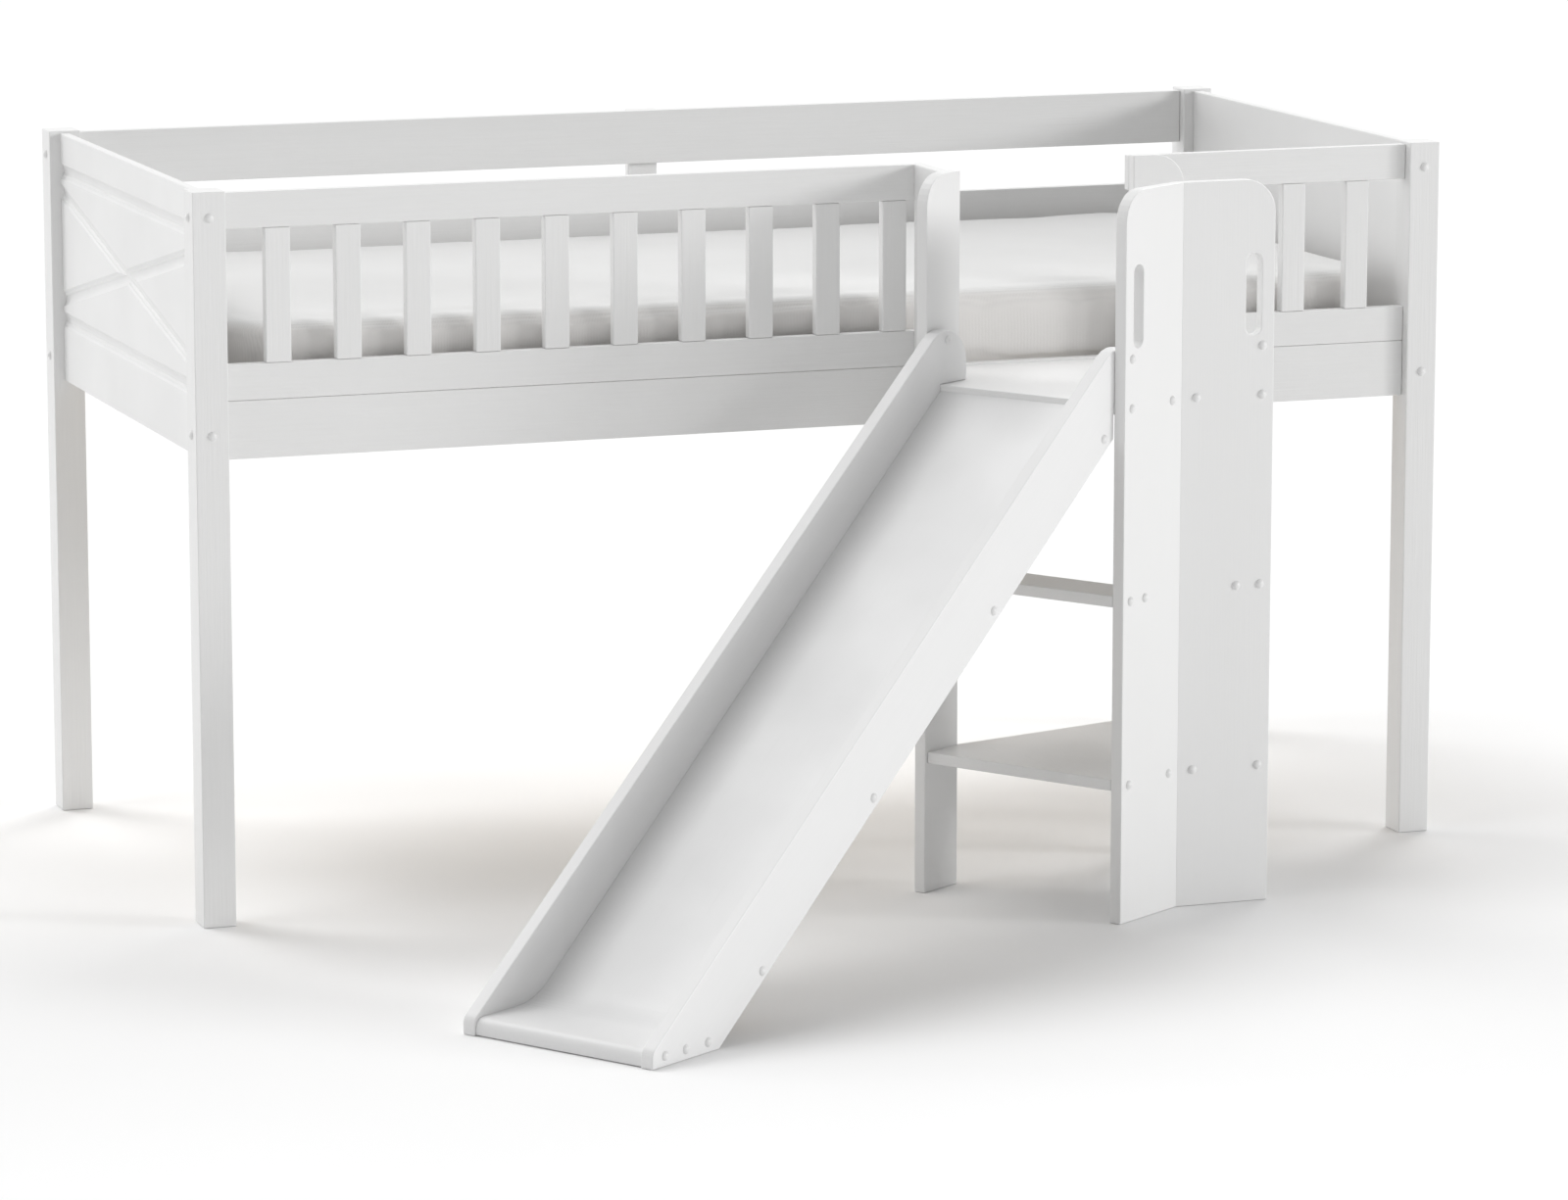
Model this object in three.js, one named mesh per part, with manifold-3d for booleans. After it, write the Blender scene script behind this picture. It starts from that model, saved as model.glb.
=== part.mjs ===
// A mid-height loft bed with a corner platform, two climbing treads and a straight slide.
// Millimetres, +Z up. X runs along the bed, Y from the open front to the back.
// The model is built from the front left post's outer corner, and the whole group is then moved so
// that its origin is the middle of its own footprint, on the floor.
import * as THREE from "three";
import { mergeVertices } from "three/addons/utils/BufferGeometryUtils.js";
import Module from "manifold-3d";

const manifoldLibrary = await Module();
manifoldLibrary.setup();

// Bed: posts. The bed's length and width follow from the mattress.
const postSide = 52;
const postRise = 4; // above the guards and the end panels
const seatGap = 0.3; // between pieces that touch

// Bed: rails, guards and end panels
const railThickness = 18;
const railBottom = 726; // underside of the side rails and the end panels
const sideRailHeight = 90;
const backRailGap = 70; // between the back's three rails, which set the guards' height too
const guardRailHeight = 56;
const balusterWidth = 40;
const balusterInset = 65; // from a post to the nearest baluster
const leftBalusterCount = 10;
const leftLastInset = 32.7; // from the left guard's open end to its last baluster
const rightBalusterCount = 4;
const rightLastInset = 46.2; // the same in the right guard
const endPanelThickness = 16;
const backUprightWidth = 52;
const backUprightThickness = 16;

// End panels: the moulded grooves
const grooveWidth = 26.5;
const grooveDepth = 5.8;
// Section of a groove as shares of its width and depth: a cove, a flat floor and two small steps.
const grooveShares = [
  [0, 0],
  [0.06, 0.22],
  [0.14, 0.56],
  [0.24, 0.83],
  [0.36, 0.96],
  [0.48, 1],
  [0.63, 1],
  [0.73, 0.55],
  [0.87, 0.47],
  [0.99, 0],
];
const upperGrooveDrop = 62.2; // from the panel's top edge to the upper groove's middle
const lowerGrooveRise = 102.9; // from the panel's bottom edge to the lower groove's middle
const crossHalfHeight = 89; // the crossed grooves' ends, above and below the middle between the others

// Bed base and mattress
const ledgerThickness = 25;
const ledgerHeight = 40;
const ledgerRise = 44; // its top above the side rails' underside
const slatThickness = 18;
const slatWidth = 115;
const slatCount = 11;
const slatEndInset = 3; // from a post to the first slat
const mattressLength = 1940;
const mattressWidth = 870;
const mattressEndPlay = 35; // to each end panel
const mattressSidePlay = 15; // to the rails in front and behind
const mattressEdgeHeight = 145;
const mattressCrown = 4; // how far the middle of the top stands above its edges
const mattressCornerRadius = 80; // seen from above
const mattressEdgeRadius = 20; // top and bottom edges
const mattressDrawIn = 2; // how far the border is drawn in between its edges

// Platform tower: four boards on end, treads between them
const towerRise = 2; // above the guards
const towerBoard = 20;
const columnInset = 611; // from the bed's right end to the corner where the two wide boards meet
const slideTurn = THREE.MathUtils.degToRad(33); // the slide's way against the bed's length, seen from above
const passage = 348.6; // clear width of the slide's way and of the climbing way
const wideBoardWidth = 155;
const narrowBoardWidth = 88;
const narrowBoardProud = 6; // a narrow board stands out past the wide board opposite
const towerCornerRadius = 50;
const slotWidth = 26;
const slotLength = 128;
const slotInset = 35; // from a wide board's outer edge to the slot's middle
const slotDrop = 178; // from the boards' top to the slot's middle
const treadThickness = 18;
const deckDrop = 3.5; // the deck's top below that of the front side rail
const rungTop = 514;
const lowerTreadTop = 226.5;
const rungDepth = 88; // from the wide boards' outer edges inwards

// Slide
const slideReach = 1140; // level run from the deck's edge to the foot of the slide
const slideFootHeight = 24; // the sides' upper edge above the floor, at the foot
const slideRiseAtDeck = 86.5; // the sides' straight upper edge above the deck, at the deck's edge
const slideBoard = 22;
const slideBoardWidth = 112;
const hookLength = 70; // how far each side lies over the deck
const hookRadius = 55;
const noseRadius = 16;
const sheetThickness = 5;
const sheetDrop = 9.5; // the sliding surface below the deck, at the deck's edge
const sheetDepth = 82; // square from a side's upper edge down to the sliding surface, at the foot
const runOutTop = 26; // sliding surface above the floor at the foot
const runOutRadius = 110;
const sheetNoseRadius = 14;
const sheetFloorGap = 1.5; // below the sheet's bent front edge
const sheetFrontInset = 3; // behind the front of the sides
const footBlockLength = 142;
const battenWidth = 40;
const battenThickness = 25;
const battenShares = [0.023, 0.276, 0.541, 0.777]; // along the reach, from the deck

// Edges, recesses for fasteners and the fineness of the rounds
const edgeRound = 1.6;
const softEdgeRound = 1.2;
const edgeSteps = 2;
const roughEdgeSteps = 1;
const arcSteps = 8;
const recessRadius = 6.5;
const recessDepth = 3;
const recessSides = 12;
const overrun = 5; // how far a cutter stands clear of the face it enters
const postRecessInset = 40; // below the posts' top, and above the side rails' underside
const recessEdgeInset = 19.5; // from a wide board's outer edge
const recessPitch = 40; // between two recesses side by side in a wide board
const narrowRecessPitch = 30; // the same in a narrow board
const recessCornerInset = 25; // from the corner where the wide boards meet
const slideBoltRise = 67.5; // above the deck
const footRecessHeight = 15.5;
const footRecessShares = [0.2, 0.535, 0.895]; // along the foot block

// Places that follow from the sizes above
const railInset = (postSide - railThickness) / 2;
const panelInset = (postSide - endPanelThickness) / 2;
const railTop = railBottom + 3 * sideRailHeight + 2 * backRailGap;
const bedLength = mattressLength + 2 * (mattressEndPlay + panelInset + endPanelThickness);
const bedWidth = mattressWidth + 2 * (mattressSidePlay + railInset + railThickness);
const postHeight = railTop + postRise;
const towerHeight = railTop + towerRise;
const columnX = bedLength - columnInset;
const railStart = postSide + seatGap;
const railEnd = bedLength - postSide - seatGap;
const sideRailTop = railBottom + sideRailHeight;
const deckTop = sideRailTop - deckDrop;
const ledgerTop = railBottom + ledgerRise;
const guardBottom = sideRailTop + seatGap;
const guardBottomRailTop = guardBottom + guardRailHeight;
const guardTopRailBottom = railTop - guardRailHeight;
const slatTop = ledgerTop + seatGap + slatThickness;
const narrowFace = towerBoard + passage; // a narrow board's inner face, behind the wide boards' fronts
const narrowBack = narrowFace + towerBoard;
const columnY = railInset - seatGap - narrowBack;
const narrowOuter = wideBoardWidth + narrowBoardProud;
const narrowInner = narrowOuter - narrowBoardWidth;
const slideTop = wideBoardWidth - hookLength; // the upper end of the slide's sides
const slideFoot = wideBoardWidth + slideReach;
const slideSlope = Math.atan2(deckTop + slideRiseAtDeck - slideFootHeight, slideReach);
const slideBoltHeight = deckTop + slideBoltRise;
const slideSideOuter = towerBoard + seatGap;
const slideSideInner = slideSideOuter + slideBoard;
const slideFarInner = narrowFace - seatGap - slideBoard;

// Paint and fabric
const paint = new THREE.MeshStandardMaterial({ color: 0xf1f0ee, roughness: 0.45, metalness: 0 });
const barePine = new THREE.MeshStandardMaterial({ color: 0xd9c8a6, roughness: 0.6, metalness: 0 });
const slidePaint = new THREE.MeshStandardMaterial({ color: 0xf3f2f0, roughness: 0.3, metalness: 0 });
const ticking = new THREE.MeshStandardMaterial({ color: 0xe9e6e1, roughness: 0.9, metalness: 0 });

const bed = new THREE.Group();

function addMesh(parent, name, geometry, material) {
  const mesh = new THREE.Mesh(geometry, material);
  mesh.name = name;
  parent.add(mesh);
  return mesh;
}

// Solids by cutting

function toSolid(geometry) {
  const bare = geometry.clone();
  bare.deleteAttribute("normal");
  bare.deleteAttribute("uv");
  const merged = mergeVertices(bare);
  return new manifoldLibrary.Manifold(
    new manifoldLibrary.Mesh({
      numProp: 3,
      vertProperties: merged.attributes.position.array,
      triVerts: new Uint32Array(merged.index.array),
    }),
  );
}

function toGeometry(solid) {
  const mesh = solid.getMesh();
  const indexed = new THREE.BufferGeometry();
  indexed.setAttribute("position", new THREE.BufferAttribute(mesh.vertProperties, mesh.numProp));
  indexed.setIndex(new THREE.BufferAttribute(mesh.triVerts, 1));
  const flat = indexed.toNonIndexed();
  flat.computeVertexNormals();
  return flat;
}

function cut(geometry, cutters) {
  const left = cutters.reduce((solid, cutter) => solid.subtract(toSolid(cutter)), toSolid(geometry));
  return toGeometry(left);
}

// Outlines

// A closed outline through the given corners, each a Vector2 with its own radius in .round.
function roundedOutline(corners, steps) {
  const points = [];
  corners.forEach((corner, i) => {
    const before = corners[(i + corners.length - 1) % corners.length];
    const after = corners[(i + 1) % corners.length];
    const back = before.clone().sub(corner).normalize();
    const on = after.clone().sub(corner).normalize();
    const half = Math.acos(THREE.MathUtils.clamp(back.dot(on), -1, 1)) / 2;
    const reach = corner.round / Math.tan(half);
    const centre = back.clone().add(on).normalize().multiplyScalar(corner.round / Math.sin(half)).add(corner);
    const start = corner.clone().addScaledVector(back, reach).sub(centre);
    const end = corner.clone().addScaledVector(on, reach).sub(centre);
    const turn = Math.atan2(start.cross(end), start.dot(end));
    const count = corner.steps ?? steps;
    for (let k = 0; k <= count; k++) {
      points.push(start.clone().rotateAround(new THREE.Vector2(), (turn * k) / count).add(centre));
    }
  });
  return new THREE.Shape(points);
}

function corner(x, y, round = edgeRound, steps = undefined) {
  return Object.assign(new THREE.Vector2(x, y), { round, steps });
}

function rectangle(x0, x1, y0, y1, round) {
  return [corner(x0, y0, round), corner(x1, y0, round), corner(x1, y1, round), corner(x0, y1, round)];
}

// A board: its outline pushed out along local +Z, with every edge eased.
function boardGeometry(shape, thickness, round = edgeRound, steps = edgeSteps) {
  return new THREE.ExtrudeGeometry(shape, {
    depth: thickness - 2 * round,
    bevelEnabled: true,
    bevelThickness: round,
    bevelSize: round,
    bevelOffset: -round,
    bevelSegments: steps,
    curveSegments: arcSteps,
  }).translate(0, 0, round);
}

// A board on edge: outline in X and Z, front face at y, thickness towards the back.
function standing(geometry, y, thickness) {
  return geometry.rotateX(Math.PI / 2).translate(0, y + thickness, 0);
}

// A board across the bed: outline in Y and Z, thickness along +X from x.
function crossing(geometry, x) {
  return geometry.rotateX(Math.PI / 2).rotateZ(Math.PI / 2).translate(x, 0, 0);
}

function railGeometry(x0, x1, z0, z1, y, thickness = railThickness) {
  const shape = roundedOutline(rectangle(x0, x1, z0, z1), edgeSteps);
  return standing(boardGeometry(shape, thickness), y, thickness);
}

// A round cutter for a fastener's recess: it enters at the given point, against the outward direction.
function recess(point, outward) {
  const length = recessDepth + overrun;
  const cutter = new THREE.CylinderGeometry(recessRadius, recessRadius, length, recessSides);
  const turn = new THREE.Quaternion().setFromUnitVectors(new THREE.Vector3(0, 1, 0), outward);
  cutter.translate(0, length / 2 - recessDepth, 0);
  return cutter.applyQuaternion(turn).translate(point.x, point.y, point.z);
}

const towardsFront = new THREE.Vector3(0, -1, 0);
const towardsBack = new THREE.Vector3(0, 1, 0);
const towardsRight = new THREE.Vector3(1, 0, 0);
const towardsLeft = new THREE.Vector3(-1, 0, 0);

// Posts, with a recessed fastener at each rail in both outer faces

function addPost(name, x, y, sideways, outwards) {
  const shape = roundedOutline(rectangle(x, x + postSide, y, y + postSide), edgeSteps);
  const blank = boardGeometry(shape, postHeight);
  const middleX = x + postSide / 2;
  const middleY = y + postSide / 2;
  const cutters = [postHeight - postRecessInset, railBottom + postRecessInset].flatMap((z) => [
    recess(new THREE.Vector3(middleX + (sideways.x * postSide) / 2, middleY, z), sideways),
    recess(new THREE.Vector3(middleX, middleY + (outwards.y * postSide) / 2, z), outwards),
  ]);
  addMesh(bed, name, cut(blank, cutters), paint);
}

const farPostX = bedLength - postSide;
const farPostY = bedWidth - postSide;
addPost("front_left_post", 0, 0, towardsLeft, towardsFront);
addPost("front_right_post", farPostX, 0, towardsRight, towardsFront);
addPost("back_left_post", 0, farPostY, towardsLeft, towardsBack);
addPost("back_right_post", farPostX, farPostY, towardsRight, towardsBack);

// End panels: two level grooves and two crossed ones moulded into the outer face

const panelStart = postSide + seatGap;
const panelEnd = bedWidth - postSide - seatGap;

// A groove's cutter between two points of the face, seen with Y across and Z up. The cove is the
// groove's upper or lower side, and the steps are the other.
function grooveCutter(from, to, coveAbove, faceX, outward) {
  const side = coveAbove === outward.x < 0 ? 1 : -1;
  const across = (x, z) => new THREE.Vector2(side * x, z);
  const half = grooveWidth / 2;
  const section = grooveShares.map(([share, depthShare]) =>
    across(grooveWidth * share - half, -grooveDepth * depthShare),
  );
  const profile = new THREE.Shape([
    across(-half - overrun, overrun),
    across(-half - overrun, 0),
    ...section,
    across(half + overrun, 0),
    across(half + overrun, overrun),
  ]);
  const along = to.clone().sub(from);
  const length = along.length() + 2 * overrun + grooveWidth;
  const bar = new THREE.ExtrudeGeometry(profile, { depth: length, bevelEnabled: false });
  bar.translate(0, 0, -length / 2);
  const zAxis = new THREE.Vector3(0, along.x, along.y).normalize();
  const yAxis = outward.clone();
  const xAxis = new THREE.Vector3().crossVectors(yAxis, zAxis);
  bar.applyMatrix4(new THREE.Matrix4().makeBasis(xAxis, yAxis, zAxis));
  return bar.translate(faceX, (from.x + to.x) / 2, (from.y + to.y) / 2);
}

function addEndPanel(name, x, faceX, outward) {
  const shape = roundedOutline(rectangle(panelStart, panelEnd, railBottom, railTop), edgeSteps);
  const blank = crossing(boardGeometry(shape, endPanelThickness), x);
  const upper = railTop - upperGrooveDrop;
  const lower = railBottom + lowerGrooveRise;
  const middle = (upper + lower) / 2;
  const lines = [
    [upper, upper, true],
    [lower, lower, true],
    [middle - crossHalfHeight, middle + crossHalfHeight, true],
    [middle + crossHalfHeight, middle - crossHalfHeight, false],
  ];
  const cutters = lines.map(([z0, z1, coveAbove]) => {
    const front = new THREE.Vector2(panelStart, z0);
    const back = new THREE.Vector2(panelEnd, z1);
    return grooveCutter(front, back, coveAbove, faceX, outward);
  });
  addMesh(bed, name, cut(blank, cutters), paint);
}

addEndPanel("left_end_panel", panelInset, panelInset, towardsLeft);
const rightPanelX = bedLength - panelInset - endPanelThickness;
addEndPanel("right_end_panel", rightPanelX, bedLength - panelInset, towardsRight);

// Back: three rails and the upright behind them

const backRailY = bedWidth - railInset - railThickness;
["back_side_rail", "back_middle_rail", "back_top_rail"].forEach((name, i) => {
  const z = railBottom + i * (sideRailHeight + backRailGap);
  addMesh(bed, name, railGeometry(railStart, railEnd, z, z + sideRailHeight, backRailY), paint);
});
const uprightX = (bedLength - backUprightWidth) / 2;
const uprightY = backRailY + railThickness + seatGap;
addMesh(
  bed,
  "back_upright",
  railGeometry(uprightX, uprightX + backUprightWidth, railBottom, railTop, uprightY, backUprightThickness),
  paint,
);

// Front: the side rail, and a guard on each side of the way in

const wayIn = slidePoint(narrowInner, narrowBack); // back outer corner of the slide's narrow board
const leftGuardEnd = wayIn.x;
const rightGuardStart = columnX + narrowInner;

addMesh(bed, "front_side_rail", railGeometry(railStart, railEnd, railBottom, sideRailTop, railInset), paint);

// The balusters are spaced evenly from the one next to the post to the one next to the way in.
function addGuard(side, [x0, x1], count, firstBaluster, lastBaluster) {
  const rail = (z0, z1) => railGeometry(x0, x1, z0, z1, railInset);
  addMesh(bed, side + "_guard_bottom_rail", rail(guardBottom, guardBottomRailTop), paint);
  addMesh(bed, side + "_guard_top_rail", rail(guardTopRailBottom, railTop), paint);
  const z0 = guardBottomRailTop + seatGap;
  const z1 = guardTopRailBottom - seatGap;
  for (let i = 0; i < count; i++) {
    const x = THREE.MathUtils.lerp(firstBaluster, lastBaluster, i / (count - 1));
    const name = side + "_baluster_" + String(i + 1).padStart(2, "0");
    addMesh(bed, name, railGeometry(x, x + balusterWidth, z0, z1, railInset), paint);
  }
}

addGuard(
  "left",
  [railStart, leftGuardEnd],
  leftBalusterCount,
  postSide + balusterInset,
  leftGuardEnd - leftLastInset - balusterWidth,
);
addGuard(
  "right",
  [rightGuardStart, railEnd],
  rightBalusterCount,
  bedLength - postSide - balusterInset - balusterWidth,
  rightGuardStart + rightLastInset,
);

// Bed base: a ledger on each side rail, and loose slats across them

function addRough(name, [x0, x1], [y0, y1], [z0, z1]) {
  const shape = roundedOutline(rectangle(x0, x1, y0, y1, softEdgeRound), roughEdgeSteps);
  const geometry = boardGeometry(shape, z1 - z0, softEdgeRound, roughEdgeSteps).translate(0, 0, z0);
  addMesh(bed, name, geometry, barePine);
}

const innerFront = railInset + railThickness + seatGap;
const innerBack = backRailY - seatGap;
const ledgerLength = [railStart, railEnd];
const ledgerSpan = [ledgerTop - ledgerHeight, ledgerTop];
addRough("front_ledger", ledgerLength, [innerFront, innerFront + ledgerThickness], ledgerSpan);
addRough("back_ledger", ledgerLength, [innerBack - ledgerThickness, innerBack], ledgerSpan);
const firstSlat = railStart + slatEndInset;
const slatPitch = (railEnd - slatEndInset - slatWidth - firstSlat) / (slatCount - 1);
for (let i = 0; i < slatCount; i++) {
  const x = firstSlat + i * slatPitch;
  const name = "base_slat_" + String(i + 1).padStart(2, "0");
  addRough(name, [x, x + slatWidth], [innerFront, innerBack], [ledgerTop + seatGap, slatTop]);
}

// Mattress: a padded slab with a crowned top, soft edges and a border drawn in between them

const mattressRoundSteps = 5; // quarter rounds of the edges
const mattressCornerSteps = 5; // quarter rounds of the plan
const mattressRings = 4; // from the top's edge in to its middle
const mattressInnerShare = 0.94; // how far in the innermost ring lies

// The plan outline drawn in by the given amount, as a closed list of points.
function mattressPlan(inset) {
  const halfLength = mattressLength / 2 - inset;
  const halfWidth = mattressWidth / 2 - inset;
  const radius = Math.max(mattressCornerRadius - inset, mattressCornerRadius / 4);
  const points = [];
  [[1, 1], [-1, 1], [-1, -1], [1, -1]].forEach(([sx, sy], quarter) => {
    for (let k = 0; k <= mattressCornerSteps; k++) {
      const angle = ((quarter + k / mattressCornerSteps) * Math.PI) / 2;
      points.push([
        sx * (halfLength - radius) + radius * Math.cos(angle),
        sy * (halfWidth - radius) + radius * Math.sin(angle),
      ]);
    }
  });
  return points;
}

function mattressGeometry() {
  // One row for each ring: how far it is drawn in from the plan, and its height.
  const rings = [];
  const middleInset = mattressWidth / 2;
  const flatInset = (share) => mattressEdgeRadius + (middleInset - mattressEdgeRadius) * share;
  for (let k = mattressRings - 1; k >= 1; k--) {
    rings.push([flatInset((k / mattressRings) * mattressInnerShare), 0]);
  }
  for (let k = 0; k <= mattressRoundSteps; k++) {
    const angle = ((k / mattressRoundSteps) * Math.PI) / 2;
    rings.push([
      mattressEdgeRadius * (1 - Math.sin(angle)),
      mattressEdgeRadius * (1 - Math.cos(angle)),
    ]);
  }
  rings.push([mattressDrawIn, mattressEdgeHeight / 2]);
  for (let k = mattressRoundSteps; k >= 0; k--) {
    const angle = ((k / mattressRoundSteps) * Math.PI) / 2;
    rings.push([
      mattressEdgeRadius * (1 - Math.sin(angle)),
      mattressEdgeHeight - mattressEdgeRadius * (1 - Math.cos(angle)),
    ]);
  }
  for (let k = 1; k < mattressRings; k++) {
    const share = (k / mattressRings) * mattressInnerShare;
    rings.push([flatInset(share), mattressEdgeHeight + mattressCrown * Math.sin((share * Math.PI) / 2)]);
  }
  const positions = [];
  const index = [];
  rings.forEach(([inset, z]) => mattressPlan(inset).forEach(([x, y]) => positions.push(x, y, z)));
  const around = mattressPlan(0).length;
  for (let r = 0; r + 1 < rings.length; r++) {
    for (let i = 0; i < around; i++) {
      const a = r * around + i;
      const b = r * around + ((i + 1) % around);
      index.push(a, b, b + around, a, b + around, a + around);
    }
  }
  // The innermost rings close on a line of two points, low and high, along the mattress.
  const spine = mattressLength / 2 - middleInset;
  const last = (rings.length - 1) * around;
  const quarter = around / 4;
  [
    [0, 0, false],
    [last, mattressEdgeHeight + mattressCrown, true],
  ].forEach(([start, z, upwards]) => {
    const right = positions.length / 3;
    positions.push(spine, 0, z, -spine, 0, z);
    const left = right + 1;
    for (let i = 0; i < around; i++) {
      const a = start + i;
      const b = start + ((i + 1) % around);
      const onLeft = i >= quarter && i < 3 * quarter;
      const tip = onLeft ? left : right;
      index.push(...(upwards ? [a, b, tip] : [b, a, tip]));
    }
    const crossA = start + quarter;
    const crossB = start + 3 * quarter;
    index.push(...(upwards ? [crossA, left, right] : [crossA, right, left]));
    index.push(...(upwards ? [crossB, right, left] : [crossB, left, right]));
  });
  const geometry = new THREE.BufferGeometry();
  geometry.setAttribute("position", new THREE.Float32BufferAttribute(positions, 3));
  geometry.setIndex(index);
  geometry.computeVertexNormals();
  return geometry;
}

const mattress = addMesh(bed, "mattress", mattressGeometry(), ticking);
mattress.position.set(bedLength / 2, bedWidth / 2, slatTop + seatGap);

// Platform tower. Each side has its own group at the corner of the two wide boards: x runs out along
// the side's boards and y runs back from the wide board's front. The slide's side is the other one
// mirrored, and turned with the slide.

// A point of the slide's side, in the bed's plan.
function slidePoint(x, y) {
  const turned = new THREE.Vector2(-x, y).rotateAround(new THREE.Vector2(), slideTurn);
  return turned.add(new THREE.Vector2(columnX, columnY));
}

// A point of the climbing side, in the bed's plan.
function climbPoint(x, y) {
  return new THREE.Vector2(columnX + x, columnY + y);
}

const slideSide = new THREE.Group();
slideSide.position.set(columnX, columnY, 0);
slideSide.rotation.z = slideTurn;
bed.add(slideSide);
const climbSide = new THREE.Group();
climbSide.position.set(columnX, columnY, 0);
bed.add(climbSide);

const treadMiddles = {
  deck: deckTop - treadThickness / 2,
  rung: rungTop - treadThickness / 2,
  lower: lowerTreadTop - treadThickness / 2,
};

// Corners in the order that keeps an outline's turn when a side is mirrored.
function sided(corners, sign) {
  const placed = corners.map((c) => corner(sign * c.x, c.y, c.round, c.steps));
  return sign > 0 ? placed : placed.reverse();
}

function addWideBoard(group, name, sign) {
  const mitre = Math.tan(slideTurn / 2) * towerBoard;
  const corners = [
    corner(-mitre - overrun, 0),
    corner(wideBoardWidth, 0),
    corner(wideBoardWidth, towerHeight, towerCornerRadius, arcSteps),
    corner(-mitre - overrun, towerHeight),
  ];
  const shape = roundedOutline(sided(corners, sign), edgeSteps);
  const slotX = sign * (wideBoardWidth - slotInset);
  const slotHalf = slotWidth / 2;
  const slotStraight = (slotLength - slotWidth) / 2;
  const slot = new THREE.Path();
  const slotMiddle = towerHeight - slotDrop;
  slot.absarc(slotX, slotMiddle + slotStraight, slotHalf, 0, Math.PI, false);
  slot.absarc(slotX, slotMiddle - slotStraight, slotHalf, Math.PI, 2 * Math.PI, false);
  shape.holes.push(slot);
  const blank = standing(boardGeometry(shape, towerBoard), 0, towerBoard);
  // The mitre: everything past the plane that halves the corner is cut away.
  const reach = 2 * wideBoardWidth;
  const past = new THREE.BoxGeometry(reach, reach, 2 * towerHeight + reach);
  past.translate(-sign * (reach / 2 - seatGap / 2), 0, towerHeight);
  past.rotateZ((sign * slideTurn) / 2);
  const out = sign * (wideBoardWidth - recessEdgeInset);
  const next = sign * (wideBoardWidth - recessEdgeInset - recessPitch);
  const by = sign * recessCornerInset;
  const places = [
    [out, treadMiddles.deck],
    [by, treadMiddles.deck],
    [out, treadMiddles.lower],
    [by, treadMiddles.lower],
    [out, treadMiddles.rung],
    [next, treadMiddles.rung],
    [out, slideBoltHeight],
  ];
  const recesses = places.map(([x, z]) => recess(new THREE.Vector3(x, 0, z), towardsFront));
  addMesh(group, name, cut(blank, [past, ...recesses]), paint);
}

addWideBoard(slideSide, "slide_wide_board", -1);
addWideBoard(climbSide, "climbing_wide_board", 1);

function addNarrowBoard(group, name, sign, heights) {
  const corners = [
    corner(narrowInner, 0),
    corner(narrowOuter, 0),
    corner(narrowOuter, towerHeight, towerCornerRadius, arcSteps),
    corner(narrowInner, towerHeight),
  ];
  const shape = roundedOutline(sided(corners, sign), edgeSteps);
  const blank = standing(boardGeometry(shape, towerBoard), narrowFace, towerBoard);
  const out = sign * (wideBoardWidth - recessEdgeInset);
  const next = sign * (wideBoardWidth - recessEdgeInset - narrowRecessPitch);
  const recesses = heights.flatMap((z) =>
    [out, next].map((x) => recess(new THREE.Vector3(x, narrowBack, z), towardsBack)),
  );
  addMesh(group, name, cut(blank, recesses), paint);
}

addNarrowBoard(slideSide, "slide_narrow_board", -1, Object.values(treadMiddles));
addNarrowBoard(climbSide, "climbing_narrow_board", 1, [treadMiddles.rung, treadMiddles.lower]);

// The closing board fills the corner between the guard's end and the slide's narrow board.
const closingLeft = wayIn.x - towerBoard;
const closingSeat = seatGap / Math.cos(slideTurn);
const closingCorners = [
  corner(closingLeft, wayIn.y - towerBoard * Math.tan(slideTurn) + closingSeat, softEdgeRound),
  corner(wayIn.x, wayIn.y + closingSeat, softEdgeRound),
  corner(wayIn.x, railInset - seatGap, softEdgeRound),
  corner(closingLeft, railInset - seatGap, softEdgeRound),
];
const closingShape = roundedOutline(closingCorners, edgeSteps);
const closingBoard = boardGeometry(closingShape, railTop - railBottom, softEdgeRound);
addMesh(bed, "closing_board", closingBoard.translate(0, 0, railBottom), paint);

// Treads, level boards between the upright ones

function addTread(name, corners, top) {
  const shape = roundedOutline(corners, edgeSteps);
  const geometry = boardGeometry(shape, treadThickness).translate(0, 0, top - treadThickness);
  addMesh(bed, name, geometry, paint);
}

const treadFront = towerBoard + seatGap;
const treadBack = narrowFace - seatGap;
const notchDepth = treadFront / Math.cos(slideTurn / 2);
const notchTurn = Math.PI / 2 + slideTurn / 2;
const notch = corner(columnX + notchDepth * Math.cos(notchTurn), columnY + notchDepth * Math.sin(notchTurn));

function placed(point, round) {
  return corner(point.x, point.y, round);
}

const outerEdges = [
  notch,
  placed(climbPoint(wideBoardWidth, treadFront)),
  placed(climbPoint(wideBoardWidth, treadBack)),
];
const slideEdges = [
  placed(slidePoint(wideBoardWidth, treadBack)),
  placed(slidePoint(wideBoardWidth, treadFront)),
];

addTread(
  "lower_tread",
  [
    ...outerEdges,
    placed(climbPoint(narrowInner, treadBack)),
    placed(slidePoint(narrowInner, treadBack)),
    ...slideEdges,
  ],
  lowerTreadTop,
);

addTread(
  "deck",
  [
    ...outerEdges,
    placed(climbPoint(narrowInner - seatGap, treadBack)),
    placed(climbPoint(narrowInner - seatGap, narrowBack)),
    corner(wayIn.x + seatGap, columnY + narrowBack),
    corner(wayIn.x + seatGap, slidePoint(narrowInner - seatGap, narrowBack).y),
    placed(slidePoint(narrowInner - seatGap, treadBack)),
    ...slideEdges,
  ],
  deckTop,
);

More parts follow.
